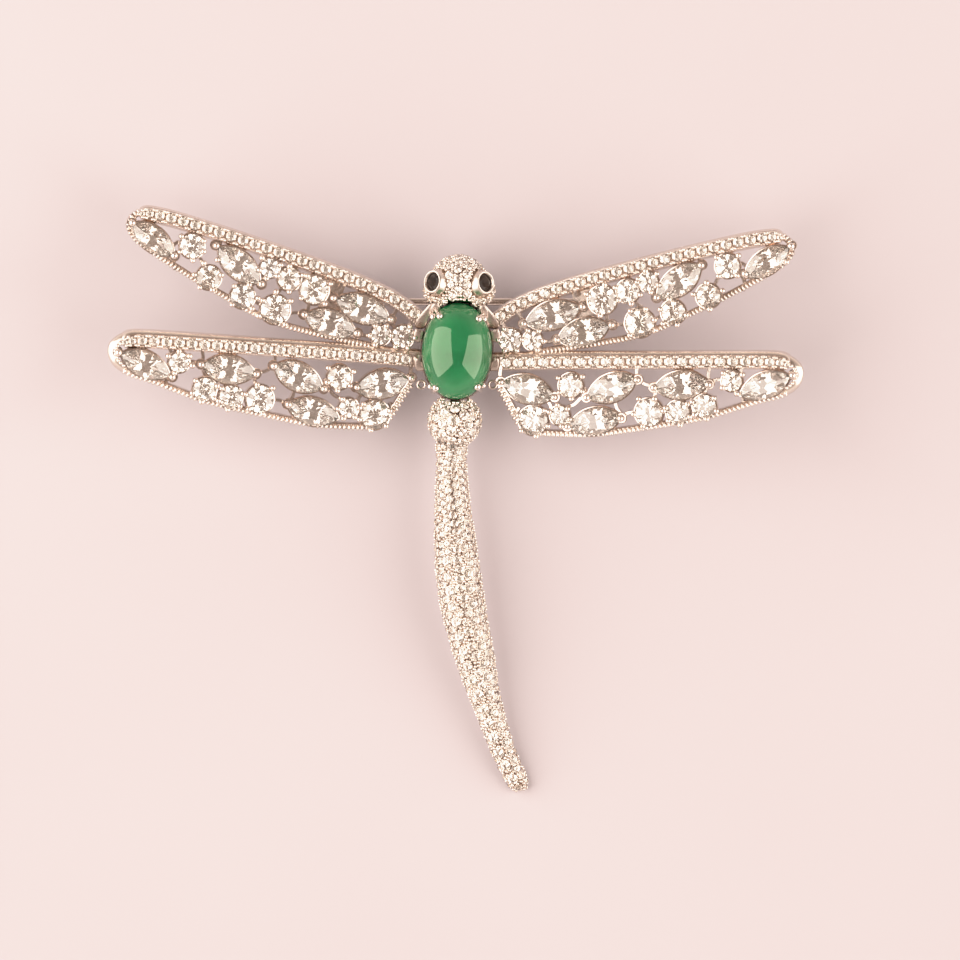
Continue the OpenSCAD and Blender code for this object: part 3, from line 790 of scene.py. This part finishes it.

# basket: polished band with a thin lip under the edge of the dome, and an oval foot. It takes the satin plating, whose
# darker base colour is painted shade.
prof = [(0.04, CAB_Z - 0.96), (0.04, CAB_Z - 0.74), (0.055, CAB_Z - 0.70), (0.08, CAB_Z - 0.73), (0.09, CAB_Z - 0.95), (0.12, 5.9), (0.18, 5.6),
        (0.18, 4.75), (0.14, 4.6), (-0.6, 4.6), (-0.6, CAB_Z - 1.02)]
rings = [np.c_[oval(CAB_W / 2 + g, CAB_L / 2 + g * 0.85), np.full(64, z)] for g, z in prof]
v, f = loft(rings, closed=True)
body_shaded_satin.add(v, f, CAB)

# claws: two balls on each of the four corners
CLAWS = [((-2.36, 3.40), 0.37), ((-1.72, 3.44), 0.35), ((2.16, 3.17), 0.36), ((2.70, 3.18), 0.34),
         ((-2.12, -3.70), 0.38), ((-2.66, -3.55), 0.31), ((2.05, -3.60), 0.38), ((2.60, -3.45), 0.31)]
turn = rot("z", -CAB_TURN)[:2, :2]
for (x, y), r in CLAWS:
    x, y = turn @ np.array((x, y))
    k = math.hypot(x / (CAB_W / 2), y / (CAB_L / 2))
    ex, ey = x / k, y / k
    nx, ny = ex / (CAB_W / 2) ** 2, ey / (CAB_L / 2) ** 2
    L = math.hypot(nx, ny)
    nx, ny = nx / L, ny / L
    foot = (ex + nx * 0.24, ey + ny * 0.24)
    g = 0.14
    pts = [(foot[0], foot[1], 5.0), (foot[0], foot[1], 6.4), (foot[0] - nx * 0.02, foot[1] - ny * 0.02, CAB_Z + 0.05),
           ((foot[0] * 0.5 + x * 0.5), (foot[1] * 0.5 + y * 0.5), dome_z(foot[0] * 0.3 + x * 0.7, foot[1] * 0.3 + y * 0.7, g) - 0.05),
           (x, y, dome_z(x, y, g) - 0.02)]
    v, f = tube(catmull(pts, 4), np.interp(np.linspace(0, 1, 17), [0, 0.5, 1], [0.22, 0.19, 0.13]), 12)
    body_polish.add(v, f, CAB)
    put(body_polish, BALL, CAB @ trans(x, y, dome_z(x, y, g) + 0.04), r)

# eyes
EYES = {-1: (-2.35, 6.9, 8.45), 1: (2.75, 6.8, 8.45)}
EYE_LEAN, EYE_D = 44.0, 1.72


def eye_matrix(s):
    return BODY @ trans(*EYES[s]) @ rot("z", 0) @ rot("y", s * EYE_LEAN) @ rot("x", -6)


def eye_axis(s):
    m = eye_matrix(s)
    return m[:3, 3], m[:3, 2]


for s in (-1, 1):
    m = eye_matrix(s)
    r = EYE_D / 2
    v, f = revolve([(r + 0.03, -0.55), (r + 0.03, 0.06), (r + 0.06, 0.16), (r + 0.13, 0.23), (r + 0.24, 0.23), (r + 0.32, 0.15), (r + 0.36, 0.0), (r + 0.50, -0.50), (r + 0.51, -0.65), (r + 0.26, -2.1), (r - 0.3, -2.1), (r - 0.3, -0.7)], 40)
    body_rims.add(v, f, m)
    piece = Piece()
    o = [(r * cos(22.5 * i), r * sin(22.5 * i)) for i in range(16)]
    v, f = facets(o, 0.15, 0.55, table=0.60, girdle=0.03)
    piece.add(v, f, m @ trans(0, 0, -0.06) @ rot("z", 11))
    piece.make(f"eye_{'right' if s > 0 else 'left'}_cut", EYE, "dark_stone", [f"eye_{'right' if s > 0 else 'left'}"], flat=True)


def oval_room(P):
    """How far points lie outside the oval of the body stone, roughly."""
    q = np.c_[P, np.ones(len(P))] @ np.linalg.inv(CAB).T
    x, y = q[:, 0] / (CAB_W / 2), q[:, 1] / (CAB_L / 2)
    k = np.hypot(x, y)
    g = np.hypot(x / k / (CAB_W / 2), y / k / (CAB_L / 2))
    return (k - 1) / g


def eye_room(P):
    """How far points lie outside the bezels of the eyes."""
    out = np.full(len(P), 9.0)
    for s in (-1, 1):
        c, n = eye_axis(s)
        d = P - c
        t = d @ n
        r = np.linalg.norm(d - t[:, None] * n, axis=1) - (EYE_D / 2 + 0.48)
        out = np.minimum(out, np.where(t > -1.6, r, 9.0))
    return out


def pave_over(P, N, room, first, sizes, beads, gap=0.09, sink=0.03):
    """Sets stones tightly over the candidate points P: those in first, then ever smaller sizes, then beads.
    Each new stone goes where it lies closest to its neighbours."""
    near1 = np.minimum(np.full(len(P), 50.0), 50.0)
    near2 = near1.copy()
    done = []

    def place(i, d, bead):
        global_d = np.linalg.norm(P - P[i], axis=1) - d / 2
        lower = global_d < near1
        near2[:] = np.where(lower, near1, np.minimum(near2, global_d))
        near1[:] = np.where(lower, global_d, near1)
        m = frame_at(P[i] - N[i] * sink, N[i])
        if bead:
            put(body_metal, BEAD, m @ trans(0, 0, 0.04 + 0.12 * d), d / 2)
        else:
            set_stone(body_metal, body_pave, m, d, cup=THIN_CUP, tilt=6.0)
        done.append((i, d))

    for i, d in first:
        if room[i] > d / 2 and near1[i] > d / 2:
            place(i, d, False)
    for bead, group in ((False, sizes), (True, beads)):
        for d in group:
            while True:
                ok = (near1 > d / 2 + (-0.06 if bead else gap)) & (room > d / 2)
                if not ok.any():
                    break
                score = np.where(ok, np.minimum(near1, 3.0) + np.minimum(near2, 3.0), 1e9)
                place(int(np.argmin(score)), d, bead)
    return done


def on_ellipsoid(centre, semi, z_lo, step=0.13):
    c, s = np.array(centre), np.array(semi)
    n = int(4 * math.pi * (s[0] * s[1] + s[1] * s[2] + s[0] * s[2]) / 3 / step ** 2)
    i = np.arange(n)
    z = 1 - 2 * (i + 0.5) / n
    q = math.pi * (3 - math.sqrt(5)) * i
    u = np.c_[np.sqrt(1 - z * z) * np.cos(q), np.sqrt(1 - z * z) * np.sin(q), z]
    N = u / s
    N /= np.linalg.norm(N, axis=1)[:, None]
    P = c + s * u
    keep = P[:, 2] > z_lo
    return P[keep] + np.array(PLACE), N[keep]


def shell(centre, semi, shrink, z_lo):
    """Ellipsoid base shell above z_lo that keeps clear of the body stone."""
    c, s = np.array(centre), np.array(semi) - shrink
    rings = []
    q0 = math.degrees(math.asin(max(-1, (z_lo - c[2]) / s[2])))
    for i in range(19):
        q = q0 + (89.0 - q0) * i / 18
        rings.append(np.array([c + s * (cos(q) * cos(7.5 * k), cos(q) * sin(7.5 * k), sin(q)) for k in range(48)]))
    v, f = loft(rings)
    v = v + np.array(PLACE)
    inv = np.linalg.inv(CAB)
    for i in range(len(v)):
        q = inv @ np.array([*v[i], 1])
        g = 0.12
        k = math.hypot(q[0] / (CAB_W / 2 + g), q[1] / (CAB_L / 2 + g))
        if k < 1:
            q[:2] /= max(k, 0.2)
            v[i] = (CAB @ q)[:3]
    body_metal.add(v, f)


# head: wide cheeks and a narrower crown between the eyes
HEAD = [((0.2, 6.1, 6.1), (3.5, 2.1, 2.9)), ((0.2, 7.0, 6.4), (2.75, 2.55, 3.0))]
P, N = [], []
for k, (c, semi) in enumerate(HEAD):
    shell(c, semi, 0.50, UNDER_Z)
    p, n = on_ellipsoid(c, semi, UNDER_Z + 0.35)
    other, span = HEAD[1 - k]
    out = (((p - np.array(PLACE) - other) / span) ** 2).sum(1) > 1.0
    P.append(p[out])
    N.append(n[out])
P, N = np.vstack(P), np.vstack(N)
room = np.minimum(oval_room(P) - 0.10, eye_room(P))
top = int(np.argmin(np.linalg.norm(P[:, :2] - (PLACE[0] + 0.2, PLACE[1] + 7.2), axis=1) - P[:, 2] * 0.1))
pave_over(P, N, room, [(top, 0.9)], [0.86, 0.74, 0.62], [0.36, 0.30])

BULB_C, BULB_S = (-0.25, -6.95, 5.7), (2.6, 2.55, 2.35)
shell(BULB_C, BULB_S, 0.50, UNDER_Z)
P, N = on_ellipsoid(BULB_C, BULB_S, UNDER_Z + 0.30)
room = oval_room(P) - 0.10
top = int(np.argmin(np.linalg.norm(P[:, :2] - (PLACE[0] - 0.3, PLACE[1] - 6.9), axis=1) - P[:, 2] * 0.1))
pave_over(P, N, room, [(top, 1.15)], [1.0, 0.82, 0.66], [0.38, 0.30])

# abdomen: D-shaped shell under a close paving
spine = catmull([(x, y, h) for x, y, h in TAIL], 8)
plan = spine[:, :2]
run = length_of(plan)
tail_span = TAIL[0][1] - TAIL[-1][1]


def tail_section(s):
    x, y, h = [float(np.interp(s, run, spine[:, k])) for k in range(3)]
    _, t = along(plan, s)
    low = UNDER_Z * (1 - ((TAIL[0][1] - y) / tail_span) ** 1.7) if y <= TAIL[0][1] else UNDER_Z
    return np.array([x, y]), t, h, max(low, 0.0)


def tail_point(s, q, shrink=0.0):
    """Point of the abdomen at a run along it and an angle across it, from its right side over the top to its left."""
    c, t, h, low = tail_section(s)
    up = 1.25 * h
    right = np.array([-t[1], t[0]])
    a = (h - shrink) * cos(q)
    z = 0.35 + (up - 0.35 - shrink) * sin(q)
    p = c + right * a
    return np.array([p[0], p[1], low + z]) + np.array(PLACE)


rings = []
for s in np.linspace(0, run[-1], 70):
    c, t, h, low = tail_section(s)
    sh = min(0.46, h * 0.42)
    ring = [tail_point(s, 180 * k / 14, sh) for k in range(15)]
    a, b = ring[0].copy(), ring[-1].copy()
    a[2] = b[2] = low + 0.02
    m1, m2 = ring[0] * 0.8 + ring[-1] * 0.2, ring[-1] * 0.8 + ring[0] * 0.2
    m1[2] = m2[2] = low
    rings.append(np.array(ring + [b, m2, m1, a]))
v, f = loft(rings)
body_metal.add(v, f)

P, N, SQ = [], [], []
for s in np.arange(0.35, run[-1] - 0.12, 0.12):
    c, t, h, low = tail_section(s)
    steps = max(6, int(math.pi * h * 1.12 / 0.12))
    for k in range(steps + 1):
        q = 2 + 176 * k / steps
        p = tail_point(s, q)
        du = tail_point(min(s + 0.2, run[-1]), q) - tail_point(max(s - 0.2, 0), q)
        dq = tail_point(s, min(q + 4, 180)) - tail_point(s, max(q - 4, 0))
        n = np.cross(dq, du)
        n /= np.linalg.norm(n)
        if n @ (p - np.array([*(c + np.array(PLACE[:2])), low + 0.3])) < 0:
            n = -n
        P.append(p)
        N.append(n)
        SQ.append((s, q))
P, N, SQ = np.array(P), np.array(N), np.array(SQ)


def nearest(s, q):
    return int(np.argmin((SQ[:, 0] - s) ** 2 + ((SQ[:, 1] - q) / 35) ** 2))


first = []
s = 12.6
while s < run[-1] - 1.2:
    c, t, h, low = tail_section(s)
    wide = h > 1.6
    first.append((nearest(s, 118 if wide else 112), rng.uniform(1.0, 1.12)))
    if s > 14:
        first.append((nearest(s + rng.uniform(-0.1, 0.1), 62 if wide else 68), rng.uniform(1.0, 1.12)))
    s += 1.52
room = np.where(SQ[:, 0] < 12.2, 0.39, 9.0)
pave_over(P, N, room, first, [0.86, 0.74, 0.62], [0.36, 0.29], sink=0.04)

# plates between head and forewings, plates beside the body stone, curled links; all in the satin plating, whose darker
# base colour is painted shade
COLLARS = {-1: [(-2.65, 4.2), (-2.4, 4.7), (-1.9, 4.75), (-1.55, 4.05), (-1.95, 3.72), (-2.45, 3.75)],
           1: [(2.05, 3.95), (2.35, 4.5), (2.8, 4.55), (3.1, 4.1), (2.9, 3.5), (2.4, 3.45)]}
for s in (-1, 1):
    neck = [(s * x, y) for x, y in ((1.4, 4.9), (2.6, 4.75), (3.2, 4.2), (3.95, 3.3), (4.2, 2.4), (3.25, 2.35), (2.8, 3.5), (2.1, 4.25))]
    front = [(s * x, y) for x, y in ((3.35, 2.0), (4.15, 2.2), (4.3, 1.2), (4.0, 0.9), (3.55, 1.1))]
    rear = [(s * x, y) for x, y in ((3.35, -1.95), (4.1, -1.9), (4.2, -0.9), (3.9, -0.7), (3.55, -1.1))]
    for poly, z0, z1 in ((neck, 4.6, 6.75), (COLLARS[s], 4.6, 7.75), (front, 4.6, 6.8), (rear, 4.6, 6.5)):
        p = np.array(poly)
        c = p.mean(0)
        p = catmull(np.vstack([p, p[:1]]), 4)[:-1]
        rings = []
        for g, dz in ((0.98, None), (1.0, -0.40), (0.99, -0.12), (0.95, -0.04), (0.86, -0.01), (0.3, 0.0)):
            q = c + (p - c) * g
            z = np.full(len(p), z0) if dz is None else z1 + dz + (q[:, 1] - c[1]) * 0.42
            rings.append(np.c_[q, z])
        v, f = loft(rings)
        body_shaded_satin.add(v, f, BODY)
    hoop = [(0.24, 0.0), (0.24, 1.5), (0.30, 1.66), (0.38, 1.70), (0.46, 1.66), (0.52, 1.5), (0.52, 0.0)]
    v, f = revolve(hoop, 28)
    body_shaded_satin.add(v, f, BODY @ trans(s * 3.58, -3.35, UNDER_Z))

body_metal.make("body_shell", METAL, "plated_metal", ["frame"])
body_polish.make("body_claws", POLISH, "plated_metal", ["frame"])
body_rims.make("eye_rims", RIM, "plated_metal", ["frame"])
# the plates, basket and links get the satin plating, darkened with painted shade
body_shaded_satin.make("body_plates", SHADED_SATIN, "plated_metal", ["frame"])
body_pave.make("body_stones", PAVE, "clear_round", flat=True)

# ---------------------------------------------------------------- pin and catch stay as built

for name in ("pin", "catch"):
    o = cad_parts[name]
    o.data.materials.clear()
    o.data.materials.append(PIN_METAL)
    for p in o.data.polygons:
        p.use_smooth = True
    o.data.set_sharp_from_angle(angle=math.radians(35))

# ---------------------------------------------------------------- floor, light, camera

mat, t, p = nodes_of("pale_surface")
vec = coords(t)
soft = noise(t, vec, 14, 2, 0.5)
t.links.new(ramp(t, soft, [(0.35, (0.562, 0.515, 0.541)), (0.65, (0.579, 0.532, 0.559))]), p.inputs["Base Color"])
grain = noise(t, vec, 900, 2)
t.links.new(span_of(t, grain, 0.52, 0.62, 0.3, 0.7), p.inputs["Roughness"])
p.inputs["Specular IOR Level"].default_value = 0.25
mesh = bpy.data.meshes.new("floor")
mesh.from_pydata([(-1.5, -1.5, 0), (1.5, -1.5, 0), (1.5, 1.5, 0), (-1.5, 1.5, 0)], [], [(0, 1, 2, 3)])
mesh.materials.append(mat)
floor = bpy.data.objects.new("floor", mesh)
floor.location = (0, 0, -0.00002)
bpy.context.scene.collection.objects.link(floor)


def panel(name, p, q, r, t, radiance):
    """Rectangular light whose corners come nearest to p, q, r, t in order round it; it shines towards the part."""
    p, q, r, t = (Vector(x) for x in (p, q, r, t))
    c = (p + q + r + t) / 4
    u, v = (q - p + r - t) / 2, (p - t + q - r) / 2
    w, h = u.length, v.length
    u.normalize()
    v.normalize()
    k = u.dot(v) / 2
    u, v = (u - v * k).normalized(), (v - u * k).normalized()
    n = u.cross(v).normalized()
    if n.dot(c - Vector((0, 0.015, 0.008))) < 0:
        u, n = -u, -n
    v = n.cross(u)
    light = bpy.data.lights.new(name, "AREA")
    light.shape = "RECTANGLE"
    light.size, light.size_y = w, h
    light.energy = radiance * math.pi * w * h
    light.color = (1.0, 0.90, 0.83)
    o = bpy.data.objects.new(name, light)
    o.matrix_world = Matrix(((u.x, v.x, n.x, c.x), (u.y, v.y, n.y, c.y), (u.z, v.z, n.z, c.z), (0, 0, 0, 1)))
    bpy.context.scene.collection.objects.link(o)


# Two big soft panels, left and right of the piece, leaning over it; dark overhead and behind, pale in front.
panel("panel_left", (-0.135, -0.145, 0.50), (-0.19, 0.445, 0.50), (-0.47, 0.27, 0.03), (-0.415, -0.32, 0.03), 3.1)
panel("panel_right", (0.15, -0.185, 0.50), (0.36, 0.275, 0.50), (0.53, 0.20, 0.03), (0.32, -0.26, 0.03), 2.95)

world = bpy.data.worlds.new("studio")
bpy.context.scene.world = world
world.use_nodes = True
t = world.node_tree
bg = t.nodes["Background"]
dirs = t.nodes.new("ShaderNodeTexCoord")
dot = t.nodes.new("ShaderNodeVectorMath")
dot.operation = "DOT_PRODUCT"
dot.inputs[1].default_value = (0.0, 0.10, 0.995)
t.links.new(dirs.outputs["Generated"], dot.inputs[0])
facing = span_of(t, dot.outputs["Value"], 0.0, 1.0, -1.0, 1.0)
t.links.new(ramp(t, facing, [(0.20, (0.75, 0.65, 0.58)), (0.45, (1.20, 1.03, 0.93)), (0.60, (0.98, 0.83, 0.74)), (0.75, (0.55, 0.44, 0.38)), (0.88, (0.28, 0.205, 0.17))]), bg.inputs["Color"])
bg.inputs["Strength"].default_value = 1.0

cam_data = bpy.data.cameras.new("camera")
cam = bpy.data.objects.new("camera", cam_data)
bpy.context.scene.collection.objects.link(cam)
cam.location = (0.00245, 0.0022, 0.9)
cam_data.sensor_width = 36
cam_data.lens = 36 * (900 - 7.5) / 96
cam_data.clip_start = 0.05
cam_data.clip_end = 20
bpy.context.scene.camera = cam

scene = bpy.context.scene
scene.view_settings.view_transform = "Standard"
scene.view_settings.look = "None"
scene.view_settings.exposure = 0.0
scene.cycles.max_bounces = 20
scene.cycles.transmission_bounces = 16
scene.cycles.glossy_bounces = 8
scene.cycles.diffuse_bounces = 4
scene.cycles.sample_clamp_indirect = 8.0
scene.cycles.use_denoising = True

# soft shoulder of the camera's tone curve
scene.use_nodes = True
tree = scene.node_tree
tree.nodes.clear()
layers = tree.nodes.new("CompositorNodeRLayers")
tone = tree.nodes.new("CompositorNodeCurveRGB")
final = tree.nodes.new("CompositorNodeComposite")
mapping = tone.mapping
mapping.use_clip = False
mapping.clip_max_x, mapping.clip_max_y = 12.0, 1.2
curve = mapping.curves[3]
curve.points[0].location = (0.0, 0.0)
curve.points[1].location = (12.0, 1.0)
for x, y in ((0.40, 0.40), (0.80, 0.80), (0.90, 0.885), (1.0, 0.935), (1.30, 0.975), (2.0, 0.99), (4.0, 0.997)):
    curve.points.new(x, y)
mapping.update()
tree.links.new(layers.outputs["Image"], tone.inputs["Image"])
tree.links.new(tone.outputs["Image"], final.inputs["Image"])
